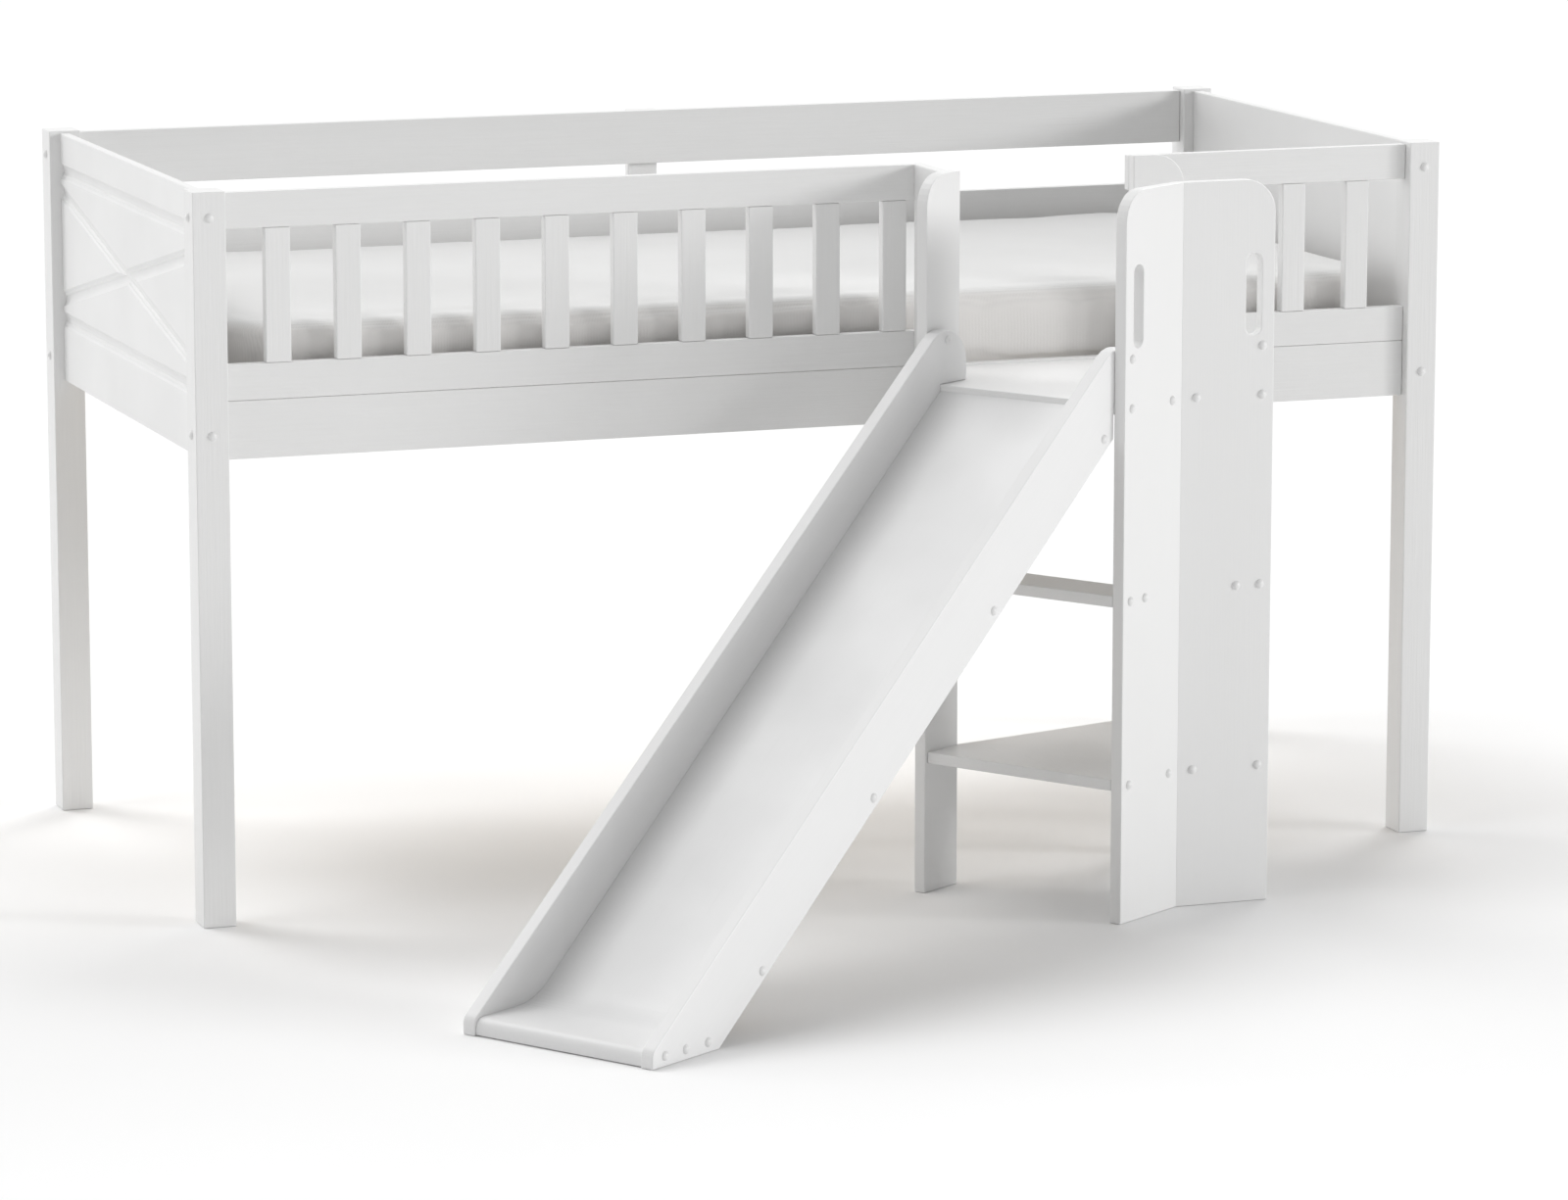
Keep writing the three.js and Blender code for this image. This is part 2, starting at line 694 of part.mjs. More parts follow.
// A narrow rung on each side, halfway up.
function addRung(name, toPlan) {
  const corners = [
    [wideBoardWidth - rungDepth, treadFront],
    [wideBoardWidth, treadFront],
    [wideBoardWidth, treadBack],
    [wideBoardWidth - rungDepth, treadBack],
  ].map(([x, y]) => placed(toPlan(x, y)));
  addTread(name, toPlan === slidePoint ? corners.reverse() : corners, rungTop);
}

addRung("slide_side_rung", slidePoint);
addRung("climbing_side_rung", climbPoint);

// Slide. In its side view x is the slide group's own x, which rises towards the deck.

const slopeTangent = Math.tan(slideSlope);
const slopeCosine = Math.cos(slideSlope);
const deckEdge = -wideBoardWidth; // where the deck's edge lies
const footX = -slideFoot;

// Height of the side's straight upper edge, and of a line the given depth square below it.
function slopeLine(x, depth = 0) {
  return deckTop + slideRiseAtDeck + (x - deckEdge) * slopeTangent - depth / slopeCosine;
}

// Height of the sliding surface's straight part.
const sheetTangent = (deckTop - sheetDrop - slopeLine(footX, sheetDepth)) / slideReach;
const sheetSlope = Math.atan(sheetTangent);

function sheetLevel(x) {
  return deckTop - sheetDrop + (x - deckEdge) * sheetTangent;
}

const hookX = -slideTop;
const lowerStart = footX + (0 - slopeLine(footX, slideBoardWidth)) / slopeTangent;
const belowDeck = deckEdge - seatGap;
const hookSeat = deckTop + seatGap;

// The middle of a batten that lies under the sheet, square to it.
function battenPlace(share) {
  const x = deckEdge - slideReach * share;
  return [x, sheetLevel(x) - (sheetThickness + seatGap + battenThickness / 2) / Math.cos(sheetSlope)];
}

function addSlideSide(name, y, outward, inward) {
  const corners = [
    corner(footX, 0),
    corner(lowerStart, 0),
    corner(belowDeck, slopeLine(belowDeck, slideBoardWidth)),
    corner(belowDeck, hookSeat, softEdgeRound),
    corner(hookX, hookSeat),
    corner(hookX, slopeLine(hookX), hookRadius, arcSteps),
    corner(footX, slopeLine(footX), noseRadius, arcSteps / 2),
  ];
  const blank = standing(boardGeometry(roundedOutline(corners, edgeSteps), slideBoard), y, slideBoard);
  const face = outward.y < 0 ? y : y + slideBoard;
  const otherFace = outward.y < 0 ? y + slideBoard : y;
  const screws = battenShares.map(battenPlace);
  footRecessShares.forEach((share) => screws.push([footX + footBlockLength * share, footRecessHeight]));
  const cutters = screws.map(([x, z]) => recess(new THREE.Vector3(x, face, z), outward));
  const boltX = -(wideBoardWidth - recessEdgeInset);
  cutters.push(recess(new THREE.Vector3(boltX, otherFace, slideBoltHeight), inward));
  addMesh(slideSide, name, cut(blank, cutters), slidePaint);
}

addSlideSide("slide_right_side", slideSideOuter, towardsFront, towardsBack);
addSlideSide("slide_left_side", slideFarInner, towardsBack, towardsFront);

// The sliding sheet, bent from one piece: down the slope, round to the level run-out and over its front.
function sheetLine() {
  const points = [];
  const add = (x, z, tangent) => points.push({ x, z, tangent });
  const top = deckEdge - seatGap;
  const slopeBack = Math.PI + sheetSlope; // direction of travel down the slope
  add(top, sheetLevel(top), slopeBack);
  // The run-out's arc touches the slope's line and the level line.
  const meet = deckEdge + (runOutTop - sheetLevel(deckEdge)) / sheetTangent;
  const touch = runOutRadius * Math.tan(sheetSlope / 2);
  const centreX = meet - touch;
  const centreZ = runOutTop + runOutRadius;
  for (let k = 0; k <= arcSteps; k++) {
    const angle = sheetSlope * (1 - k / arcSteps);
    const x = centreX + runOutRadius * Math.sin(angle);
    add(x, centreZ - runOutRadius * Math.cos(angle), Math.PI + angle);
  }
  // Over the front edge and down to the floor.
  const frontX = footX + sheetFrontInset;
  const noseX = frontX + sheetNoseRadius;
  const noseZ = runOutTop - sheetNoseRadius;
  for (let k = 0; k <= arcSteps; k++) {
    const angle = (Math.PI / 2) * (k / arcSteps);
    const x = noseX - sheetNoseRadius * Math.sin(angle);
    add(x, noseZ + sheetNoseRadius * Math.cos(angle), Math.PI + angle);
  }
  add(frontX, sheetFloorGap, (3 * Math.PI) / 2);
  return points;
}

const sheetRun = sheetLine();
const upperFace = sheetRun.map((p) => new THREE.Vector2(p.x, p.z));
// Travelling down the slide, the underside lies on the left hand.
const underFace = sheetRun.map(({ x, z, tangent }) => {
  const inward = new THREE.Vector2(-Math.sin(tangent), Math.cos(tangent));
  return new THREE.Vector2(x, z).addScaledVector(inward, sheetThickness);
});
underFace[0].x = upperFace[0].x;
underFace[0].y = upperFace[0].y - sheetThickness / Math.cos(sheetSlope);
const sheetShape = new THREE.Shape([...upperFace, ...underFace.reverse()]);
const sheetWidth = slideFarInner - slideSideInner - 2 * seatGap;
const sheetBlank = new THREE.ExtrudeGeometry(sheetShape, { depth: sheetWidth, bevelEnabled: false });
addMesh(
  slideSide,
  "slide_sheet",
  standing(sheetBlank, slideSideInner + seatGap, sheetWidth),
  slidePaint,
);

// The foot block fills the run-out's front, under the sheet.
const blockFront = footX + sheetFrontInset + sheetThickness + seatGap;
const blockBack = footX + footBlockLength;
const blockTop = runOutTop - sheetThickness - seatGap;
const blockRound = sheetNoseRadius - sheetThickness;
const blockShape = roundedOutline(
  [
    corner(blockFront, 0, softEdgeRound),
    corner(blockBack, 0, softEdgeRound),
    corner(blockBack, blockTop, softEdgeRound),
    corner(blockFront, blockTop, blockRound, arcSteps / 2),
  ],
  edgeSteps,
);
const blockBlank = new THREE.ExtrudeGeometry(blockShape, { depth: sheetWidth, bevelEnabled: false });
const footBlock = standing(blockBlank, slideSideInner + seatGap, sheetWidth);
addMesh(slideSide, "slide_foot_block", footBlock, slidePaint);

// Battens under the sheet, square to the slope.
battenShares.forEach((share, i) => {
  const [x, z] = battenPlace(share);
  const half = battenWidth / 2;
  const shape = roundedOutline(rectangle(-half, half, 0, battenThickness, softEdgeRound), roughEdgeSteps);
  const blank = new THREE.ExtrudeGeometry(shape, { depth: sheetWidth, bevelEnabled: false });
  const geometry = blank.translate(0, -battenThickness / 2, 0).rotateZ(sheetSlope);
  geometry.translate(x, z, 0);
  const batten = standing(geometry, slideSideInner + seatGap, sheetWidth);
  addMesh(slideSide, "slide_batten_" + (i + 1), batten, barePine);
});

// The group's origin: the middle of its footprint, at the height of the floor.
const loftBed = new THREE.Group();
loftBed.name = "loft_bed_with_slide";
loftBed.add(bed);
const extent = new THREE.Box3().setFromObject(bed);
bed.position.set(-(extent.min.x + extent.max.x) / 2, -(extent.min.y + extent.max.y) / 2, -extent.min.z);

export default loftBed;
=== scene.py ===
import math

import bpy
import numpy as np
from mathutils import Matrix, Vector, noise


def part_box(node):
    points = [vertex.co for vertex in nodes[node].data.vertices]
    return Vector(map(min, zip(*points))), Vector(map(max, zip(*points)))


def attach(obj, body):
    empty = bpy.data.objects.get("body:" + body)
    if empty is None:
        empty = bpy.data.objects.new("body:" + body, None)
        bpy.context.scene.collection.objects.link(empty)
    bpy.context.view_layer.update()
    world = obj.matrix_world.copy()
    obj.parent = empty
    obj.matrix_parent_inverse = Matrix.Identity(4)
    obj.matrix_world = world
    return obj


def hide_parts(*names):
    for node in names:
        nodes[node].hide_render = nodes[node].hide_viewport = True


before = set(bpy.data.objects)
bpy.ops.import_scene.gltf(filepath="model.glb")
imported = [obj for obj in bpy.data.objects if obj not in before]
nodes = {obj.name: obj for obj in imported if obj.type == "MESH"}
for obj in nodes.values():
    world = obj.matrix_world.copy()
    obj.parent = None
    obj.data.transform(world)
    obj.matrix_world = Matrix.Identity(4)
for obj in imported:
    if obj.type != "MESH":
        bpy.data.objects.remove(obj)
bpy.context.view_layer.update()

# Camera, solved from the photograph
FOCAL_LENGTH_MM = 147.54
SENSOR_WIDTH_MM = 36
CAMERA_PLACE = (-3.4853, -9.3316, 2.2688)
CAMERA_YAW = math.radians(19.911)
CAMERA_PITCH = math.radians(10.301)
CAMERA_REACH = 300

# Sizes of the platform and the slide, in metres
TOWER_BOARD = 0.02
SEAT_GAP = 0.0003
PASSAGE = 0.3486
WIDE_BOARD_WIDTH = 0.155
SLIDE_BOARD = 0.022
SLIDE_REACH = 1.14
SLIDE_FALL = 0.7675  # for each metre of level run

# The platform's two sides start at one corner. Each has a direction away from it and one backwards.
TURN = math.radians(33)
CORNER = Vector((0.428, -0.32681, 0))
SLIDE_SIDE = (
    Vector((-math.cos(TURN), -math.sin(TURN), 0)),
    Vector((-math.sin(TURN), math.cos(TURN), 0)),
)
CLIMBING_SIDE = (Vector((1, 0, 0)), Vector((0, 1, 0)))

# Recesses for fasteners: their depth, and where they lie
RECESS_DEPTH = 0.003
EDGE_INSET = 0.0195  # from the boards' outer edges
FOLD_INSET = 0.025  # from the corner of the two wide boards
RUNG_SPACING = 0.04
BACK_SPACING = 0.03
POST_HEIGHTS = (1.1, 0.766)
BOLT_HEIGHT = 0.88
DECK_HEIGHT = 0.8035
RUNG_HEIGHT = 0.505
TREAD_HEIGHT = 0.2175
BATTEN_SHARES = (0.023, 0.276, 0.541, 0.777)  # along the slide's reach
BATTEN_LINE_START = 0.78049  # height of the line of the battens' screws at the deck's edge
BATTEN_LINE_FALL = 0.77401  # for each metre of level run
FOOT_PLACES = (1.2666, 1.219, 1.1679)
FOOT_HEIGHT = 0.0155

# Divisors smaller than this count as nothing.
TINY = 1e-9


# Small helpers


def link(obj):
    bpy.context.scene.collection.objects.link(obj)
    return obj


def mesh_object(name, vertices, faces, smooth=True):
    mesh = bpy.data.meshes.new(name)
    mesh.from_pydata([tuple(v) for v in vertices], [], faces)
    mesh.validate()
    if smooth:
        mesh.shade_smooth()
    return link(bpy.data.objects.new(name, mesh))


def spaced(low, high, step):
    """Even places from low to high, as near to the step as they go."""
    count = max(1, round((high - low) / step))
    return np.linspace(low, high, count + 1)


def on_side(side, out, back, height):
    """A point of one side of the platform, from its distances outwards and backwards and its height."""
    return CORNER + side[0] * out + side[1] * back + Vector((0, 0, height))


def slide_direction():
    """Down the slide, for each metre of level run."""
    out = SLIDE_SIDE[0]
    return Vector((out.x, out.y, -SLIDE_FALL))


# Materials


class Nodes:
    """Short calls for a material's nodes."""

    def __init__(self, name):
        self.material = bpy.data.materials.new(name)
        self.material.use_nodes = True
        self.tree = self.material.node_tree
        self.shader = self.tree.nodes["Principled BSDF"]

    def add(self, kind, **settings):
        node = self.tree.nodes.new(kind)
        for key, value in settings.items():
            setattr(node, key, value)
        return node

    def link(self, source, target):
        self.tree.links.new(source, target)

    def fill(self, node, **values):
        """Sets input sockets, whose names are written here with low lines for spaces."""
        for key, value in values.items():
            node.inputs[key.replace("_", " ")].default_value = value

    def place(self):
        return self.add("ShaderNodeTexCoord").outputs["Object"]

    def along(self, source, direction, stretch):
        """Coordinates turned to a direction, along which a pattern is drawn out."""
        turned = Vector(direction).to_track_quat("Z", "Y").to_euler()
        mapping = self.add("ShaderNodeMapping", vector_type="TEXTURE")
        self.fill(mapping, Rotation=turned, Scale=(1, 1, stretch))
        self.link(source, mapping.inputs["Vector"])
        return mapping.outputs["Vector"]

    def noise(self, vector, scale, detail, roughness=0.5, distortion=0.0):
        node = self.add("ShaderNodeTexNoise")
        self.fill(node, Scale=scale, Detail=detail, Roughness=roughness, Distortion=distortion)
        self.link(vector, node.inputs["Vector"])
        return node.outputs["Fac"]

    def bands(self, vector, direction, scale, distortion, detail):
        node = self.add(
            "ShaderNodeTexWave",
            wave_type="BANDS",
            bands_direction=direction,
            wave_profile="SIN",
        )
        self.fill(node, Scale=scale, Distortion=distortion, Detail=detail)
        self.link(vector, node.inputs["Vector"])
        return node.outputs["Fac"]

    def spread(self, source, low, high, to_low=0.0, to_high=1.0):
        node = self.add("ShaderNodeMapRange")
        self.fill(node, From_Min=low, From_Max=high, To_Min=to_low, To_Max=to_high)
        self.link(source, node.inputs["Value"])
        return node.outputs["Result"]

    def total(self, a, b):
        node = self.add("ShaderNodeMath", operation="ADD")
        self.link(a, node.inputs[0])
        self.link(b, node.inputs[1])
        return node.outputs[0]

    def times(self, source, factor):
        node = self.add("ShaderNodeMath", operation="MULTIPLY")
        self.link(source, node.inputs[0])
        node.inputs[1].default_value = factor
        return node.outputs[0]

    def mix(self, share, a, b):
        node = self.add("ShaderNodeMix", data_type="RGBA", blend_type="MIX")
        self.link(share, node.inputs["Factor"])
        for socket, value in ((node.inputs[6], a), (node.inputs[7], b)):
            if isinstance(value, tuple):
                socket.default_value = (*value, 1)
            else:
                self.link(value, socket)
        return node.outputs[2]

    def bump(self, height, distance, strength, normal=None):
        node = self.add("ShaderNodeBump")
        self.fill(node, Distance=distance, Strength=strength)
        self.link(height, node.inputs["Height"])
        if normal is not None:
            self.link(normal, node.inputs["Normal"])
        return node.outputs["Normal"]

    def finish(self, colour, roughness, normal):
        self.link(colour, self.shader.inputs["Base Color"])
        self.link(roughness, self.shader.inputs["Roughness"])
        self.link(normal, self.shader.inputs["Normal"])
        return self.material


PAINT = (0.80, 0.80, 0.797)
PAINT_IN_GRAIN = (0.765, 0.765, 0.76)
SLIDE_PAINT = (0.80, 0.80, 0.80)
# Painted light: the deck's paint is lighter than the other paint, standing in for the light that falls on
# its top.
DECK_PAINT_WITH_PAINTED_LIGHT = (0.87, 0.87, 0.867)
CAP_PLASTIC = (0.78, 0.78, 0.78)
CAP_PLASTIC_DULL = (0.755, 0.755, 0.75)
SAPWOOD = (0.78, 0.70, 0.58)
LATE_WOOD = (0.66, 0.54, 0.4)
KNOT = (0.28, 0.16, 0.08)
ZINC = (0.66, 0.66, 0.67)
ZINC_DULL = (0.5, 0.5, 0.52)
TICKING_TOP = (0.76, 0.76, 0.757)
TICKING_TOP_DULL = (0.74, 0.74, 0.736)
# Painted shade: the mattress's sides get a darker, warmer colour than its top.
TICKING_SIDE_PAINTED_SHADE = (0.75, 0.735, 0.72)
TICKING_IN_KNIT = (0.63, 0.625, 0.615)
FLOOR = (0.93, 0.93, 0.93)
FLOOR_DULL = (0.92, 0.92, 0.92)


def painted_wood(name, direction, colour=PAINT, grain=1.0):
    """Satin paint over solid wood: the grain shows as fine lines, a little uneven from the brush."""
    n = Nodes(name)
    place = n.place()
    lines = n.noise(n.along(place, direction, 40), 260, detail=5, roughness=0.65, distortion=0.15)
    pores = n.noise(n.along(place, direction, 50), 620, detail=2, roughness=0.6)
    broad = n.noise(n.along(place, direction, 5), 9, detail=2)
    peel = n.noise(place, 900, detail=1, roughness=0.4)
    shade = n.spread(n.total(lines, broad), 0.8, 1.25, 1, 0)
    tint = n.mix(n.times(shade, 0.55 * grain), colour, PAINT_IN_GRAIN)
    rough = n.spread(broad, 0.3, 0.7, 0.38, 0.5)
    fine = n.bump(peel, 0.00012, 0.35)
    relief = n.bump(n.total(lines, n.times(pores, 0.4)), 0.0009, 0.5 * grain, fine)
    n.fill(n.shader, Specular_IOR_Level=0.42, Coat_Weight=0.08, Coat_Roughness=0.25)
    return n.finish(tint, rough, relief)


def painted_board(name, colour, wear=0.0, direction=(1, 0, 0)):
    """Sprayed paint over board: no grain, a faint orange peel and, where people tread or slide, scuffs."""
    n = Nodes(name)
    place = n.place()
    peel = n.noise(place, 420, detail=2)
    broad = n.noise(place, 5, detail=3)
    tint = n.mix(n.spread(broad, 0.35, 0.65), colour, tuple(0.965 * c for c in colour))
    rough = n.spread(broad, 0.3, 0.7, 0.34, 0.44)
    if wear:
        scuffs = n.noise(n.along(place, direction, 40), 260, detail=3, roughness=0.7)
        marks = n.spread(scuffs, 0.6, 0.75, 0, wear)
        tint = n.mix(marks, tint, tuple(0.86 * c for c in colour))
        rough = n.total(rough, n.times(marks, 0.35))
    n.fill(n.shader, Specular_IOR_Level=0.45)
    return n.finish(tint, rough, n.bump(peel, 0.00015, 0.35))


def bare_pine(name, direction):
    """Planed pine without paint: pale sapwood, darker late wood and a few knots."""
    n = Nodes(name)
    place = n.place()
    wander = n.noise(n.along(place, direction, 9), 22, detail=2, distortion=0.6)
    rings = n.noise(n.along(place, direction, 30), 120, detail=4, roughness=0.55, distortion=0.4)
    pores = n.noise(n.along(place, direction, 40), 700, detail=2, roughness=0.6)
    late = n.spread(n.total(rings, n.times(wander, 0.7)), 0.72, 1.0)
    knots = n.spread(n.noise(n.along(place, direction, 1.6), 6.5, detail=1, roughness=0.3), 0.71, 0.78)
    wood = n.mix(knots, n.mix(late, SAPWOOD, LATE_WOOD), KNOT)
    rough = n.spread(rings, 0.3, 0.7, 0.58, 0.72)
    relief = n.bump(n.total(rings, n.times(pores, 0.6)), 0.0006, 0.5)
    n.fill(n.shader, Specular_IOR_Level=0.3)
    return n.finish(wood, rough, relief)


def moulded_cap(name):
    """White plastic with the faint unevenness of a moulding."""
    n = Nodes(name)
    place = n.place()
    peel = n.noise(place, 1500, detail=2)
    broad = n.noise(place, 60, detail=1)
    tint = n.mix(n.spread(broad, 0.3, 0.7), CAP_PLASTIC, CAP_PLASTIC_DULL)
    return n.finish(tint, n.spread(broad, 0.3, 0.7, 0.3, 0.4), n.bump(peel, 0.00005, 0.3))


def zinc(name):
    """Zinc plated steel, a little blotchy."""
    n = Nodes(name)
    place = n.place()
    turned = n.noise(place, 900, detail=3, roughness=0.6)
    broad = n.noise(place, 70, detail=2)
    tint = n.mix(n.spread(broad, 0.3, 0.7), ZINC, ZINC_DULL)
    n.fill(n.shader, Metallic=1.0)
    return n.finish(tint, n.spread(turned, 0.3, 0.7, 0.28, 0.42), n.bump(turned, 0.00003, 0.4))


def ticking(name):
    """Knitted mattress cover: ribs along its length, crossed by rows of the knit, and sides painted darker
    and warmer than the top as painted shade.
    """
    n = Nodes(name)
    place = n.place()
    ribs = n.bands(place, "Y", scale=95, distortion=0.6, detail=1)
    rows = n.bands(place, "X", scale=130, distortion=0.8, detail=2)
    fuzz = n.noise(place, 700, detail=3, roughness=0.6)
    broad = n.noise(place, 7, detail=3)
    knit = n.total(ribs, n.times(rows, 0.5))
    # Painted shade: faces that turn from upwards to sideways shift to the darker side colour.
    facing = n.add("ShaderNodeSeparateXYZ")
    n.link(n.add("ShaderNodeNewGeometry").outputs["Normal"], facing.inputs["Vector"])
    top = n.spread(facing.outputs["Z"], 0.35, 0.9)
    panel = n.mix(n.spread(broad, 0.3, 0.7), TICKING_TOP, TICKING_TOP_DULL)
    tint = n.mix(top, TICKING_SIDE_PAINTED_SHADE, panel)
    tint = n.mix(n.spread(knit, 0.0, 1.5, 0.25, 0), tint, TICKING_IN_KNIT)
    n.fill(n.shader, Sheen_Weight=0.15, Specular_IOR_Level=0.2)
    relief = n.bump(n.total(knit, fuzz), 0.0005, 0.5)
    return n.finish(tint, n.spread(fuzz, 0.3, 0.7, 0.82, 0.95), relief)


UPRIGHT = (0, 0, 1)
LENGTHWISE = (1, 0, 0)
CROSSWISE = (0, 1, 0)
paint_upright = painted_wood("painted wood, upright grain", UPRIGHT)
paint_tower = painted_wood("painted tower boards", UPRIGHT, grain=0.3)
paint_lengthwise = painted_wood("painted wood, lengthwise grain", LENGTHWISE)
paint_along_side = painted_wood("painted wood, grain along the platform's side", SLIDE_SIDE[0])
paint_panel = painted_board("painted panel", PAINT)
paint_tread = painted_board("painted tread", PAINT, 0.35, CLIMBING_SIDE[1])
# The deck gets the lighter paint, which is painted light on its top.
paint_deck = painted_board("painted deck", DECK_PAINT_WITH_PAINTED_LIGHT, 0.3, CLIMBING_SIDE[1])
slide_board_paint = painted_wood("painted slide side", slide_direction(), SLIDE_PAINT, 0.5)
slide_sheet_paint = painted_board("painted slide sheet", SLIDE_PAINT, 0.22, slide_direction())
pine_lengthwise = bare_pine("pine, lengthwise grain", LENGTHWISE)
pine_crosswise = bare_pine("pine, crosswise grain", CROSSWISE)
pine_across_slide = bare_pine("pine, grain across the slide", SLIDE_SIDE[1])
cap_plastic = moulded_cap("white moulded cap")
screw_steel = zinc("zinc plated steel")
knit = ticking("knitted ticking")


def material_for(node):
    """The material of a CAD node, from its name."""
    if node.startswith("base_slat"):
        return pine_crosswise
    if node.endswith("ledger"):
        return pine_lengthwise
    if node.startswith("slide_batten"):
        return pine_across_slide
    if node == "slide_sheet":
        return slide_sheet_paint
    if node in ("slide_left_side", "slide_right_side"):
        return slide_board_paint
    if node == "deck":
        return paint_deck
    if node == "lower_tread":
        return paint_tread
    if node.endswith("end_panel"):
        return paint_panel
    if node.endswith(("wide_board", "narrow_board", "closing_board")):
        return paint_tower
    if node in ("slide_side_rung", "slide_foot_block"):
        return paint_along_side
    if node.endswith("rail") or node == "climbing_side_rung":
        return paint_lengthwise
    return paint_upright


def dress_nodes():
    for name, node in nodes.items():
        node.data.materials.clear()
        node.data.materials.append(material_for(name))


# Fasteners

TURNED_SIDES = 28
SHARP_ANGLE = math.radians(50)
CAP_RADIUS = 0.0073
CAP_EDGE_SLOPE = math.radians(61)
CAP_RIM = 0.0003  # height of the upright rim under the dome
CAP_UNDERCUT = 0.0002
CAP_SEAT = 0.0001  # between the plug and the recess's floor
PLUG_RADIUS = 0.0062
PLUG_BEVEL = (0.0003, 0.0004)  # inwards and upwards
DOME_STEPS = 8
DOME_STOP = 0.4  # share of a step by which the last ring stays off the middle
SCREW_RADIUS = 0.0044
SCREW_RISE = 0.0019
SCREW_STEPS = 5
SCREW_SEAT = 0.0003  # how deep the head sits in the wood
SOCKET_RADIUS = 0.0019
SOCKET_DEPTH = 0.001
SOCKET_TAPER = 0.0001
SOCKET_FLOOR_RADIUS = 0.0004
LEDGER_SCREW_SPACING = 0.23
LEDGER_SCREW_INSET = 0.06


def lathe(profile):
    """Rings of points about the third axis, closed at both ends. The profile goes from foot to top."""
    sides = TURNED_SIDES
    vertices, faces = [], []
    for radius, height in profile:
        for k in range(sides):
            angle = 2 * math.pi * k / sides
            vertices.append(Vector((radius * math.cos(angle), radius * math.sin(angle), height)))
    for ring in range(len(profile) - 1):
        low, high = ring * sides, (ring + 1) * sides
        for k in range(sides):
            after = (k + 1) % sides
            faces.append((low + k, low + after, high + after, high + k))
    faces.append(tuple(reversed(range(sides))))
    faces.append(tuple(range(len(vertices) - sides, len(vertices))))
    return vertices, faces


def cap_profile():
    """A push-in cap: a plug that fills the recess, and a domed head a little wider than it."""
    bevel_in, bevel_up = PLUG_BEVEL
    points = [
        (PLUG_RADIUS - bevel_in, 0),
        (PLUG_RADIUS, bevel_up),
        (PLUG_RADIUS, RECESS_DEPTH),
        (CAP_RADIUS - CAP_UNDERCUT, RECESS_DEPTH),
    ]
    ball = CAP_RADIUS / math.sin(CAP_EDGE_SLOPE)
    for step in range(DOME_STEPS):
        slope = CAP_EDGE_SLOPE * (1 - step / (DOME_STEPS - DOME_STOP))
        rise = ball * (math.cos(slope) - math.cos(CAP_EDGE_SLOPE))
        points.append((ball * math.sin(slope), RECESS_DEPTH + CAP_RIM + rise))
    return points


def screw_profile():
    """A rounded screw head with a round socket, from its rim on the wood to the socket's floor."""
    points = []
    for step in range(SCREW_STEPS):
        angle = math.pi / 2 * step / SCREW_STEPS
        radius = SOCKET_RADIUS + (SCREW_RADIUS - SOCKET_RADIUS) * math.cos(angle)
        points.append((radius, SCREW_RISE * math.sin(angle)))
    floor = SCREW_RISE - SOCKET_DEPTH
    points.append((SOCKET_RADIUS, SCREW_RISE))
    points.append((SOCKET_RADIUS - SOCKET_TAPER, floor))
    points.append((SOCKET_FLOOR_RADIUS, floor))
    return points


def repeated(name, profile, places, material):
    """One piece made of the same turned shape at each (foot, outward direction)."""
    vertices, faces = [], []
    shape, rings = lathe(profile)
    for point, outward in places:
        turn = Vector(outward).to_track_quat("Z", "Y").to_matrix()
        start = len(vertices)
        vertices += [Vector(point) + turn @ v for v in shape]
        faces += [tuple(start + i for i in face) for face in rings]
    piece = mesh_object(name, vertices, faces)
    piece.data.set_sharp_from_angle(angle=SHARP_ANGLE)
    piece.data.materials.append(material)
    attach(piece, "bed")
    return piece


def in_recess(point, outward):
    """The foot of a cap just above a recess's floor, from the recess's middle at the surface."""
    outward = Vector(outward).normalized()
    return Vector(point) - outward * (RECESS_DEPTH - CAP_SEAT), outward


def post_places():
    """Two recesses in each outer face of the four posts."""
    places = []
    for back, back_name in ((-1, "front"), (1, "back")):
        for side, side_name in ((-1, "left"), (1, "right")):
            low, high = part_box(f"{back_name}_{side_name}_post")
            middle = (low + high) / 2
            half = (high - low) / 2
            for height in POST_HEIGHTS:
                end_face = (middle.x + side * half.x, middle.y, height)
                long_face = (middle.x, middle.y + back * half.y, height)
                places.append(in_recess(end_face, (side, 0, 0)))
                places.append(in_recess(long_face, (0, back, 0)))
    return places


def tower_places():
    """Recesses in the fronts of the wide boards and in the backs of the narrow ones."""
    outer = WIDE_BOARD_WIDTH - EDGE_INSET
    narrow_back = TOWER_BOARD + PASSAGE + TOWER_BOARD
    fronts = [(out, height) for height in (DECK_HEIGHT, TREAD_HEIGHT) for out in (outer, FOLD_INSET)]
    fronts += [(outer, RUNG_HEIGHT), (outer - RUNG_SPACING, RUNG_HEIGHT), (outer, BOLT_HEIGHT)]
    back_heights = (
        (SLIDE_SIDE, (DECK_HEIGHT, RUNG_HEIGHT, TREAD_HEIGHT)),
        (CLIMBING_SIDE, (RUNG_HEIGHT, TREAD_HEIGHT)),
    )
    places = []
    for side, heights in back_heights:
        for out, height in fronts:
            places.append(in_recess(on_side(side, out, 0, height), -side[1]))
        for height in heights:
            for out in (outer, outer - BACK_SPACING):
                places.append(in_recess(on_side(side, out, narrow_back, height), side[1]))
    return places


